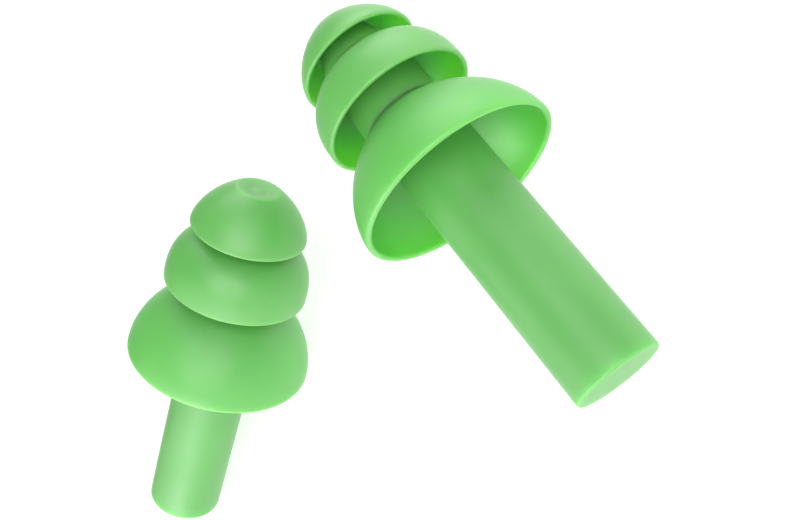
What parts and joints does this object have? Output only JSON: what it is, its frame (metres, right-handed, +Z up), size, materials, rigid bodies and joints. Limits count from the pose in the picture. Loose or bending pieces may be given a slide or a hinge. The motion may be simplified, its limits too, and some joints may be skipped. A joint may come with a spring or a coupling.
{
  "type": "flanged reusable ear plugs",
  "caption": "Uncorded reusable ear plugs: each solid round stem carries domed flanges that open towards it and grow from tip to base, moulded in soft green elastomer.",
  "frame": {"origin": "middle of the underside of the pair's bounding box, on the table that both plugs lie on", "axes": "+Z up from the table; +X from the left plug to the right plug, the pair's longest side; stems splay towards -Y and tips point towards +Y"},
  "size_m": [0.0422, 0.0318, 0.0125],
  "materials": {
    "green_elastomer": "satin, slightly translucent moulded thermoplastic elastomer"
  },
  "bodies": {
    "left_plug": {"left_stem": "green_elastomer", "left_base_flange": "green_elastomer", "left_middle_flange": "green_elastomer", "left_tip_flange": "green_elastomer"},
    "right_plug": {"right_stem": "green_elastomer", "right_base_flange": "green_elastomer", "right_middle_flange": "green_elastomer", "right_tip_flange": "green_elastomer"}
  },
  "joints": [
    {"name": "right_plug_lift", "type": "slide", "parent": "left_plug", "child": "right_plug", "axis": [0, 0, 1], "range_m": [0, 0.04]}
  ]
}
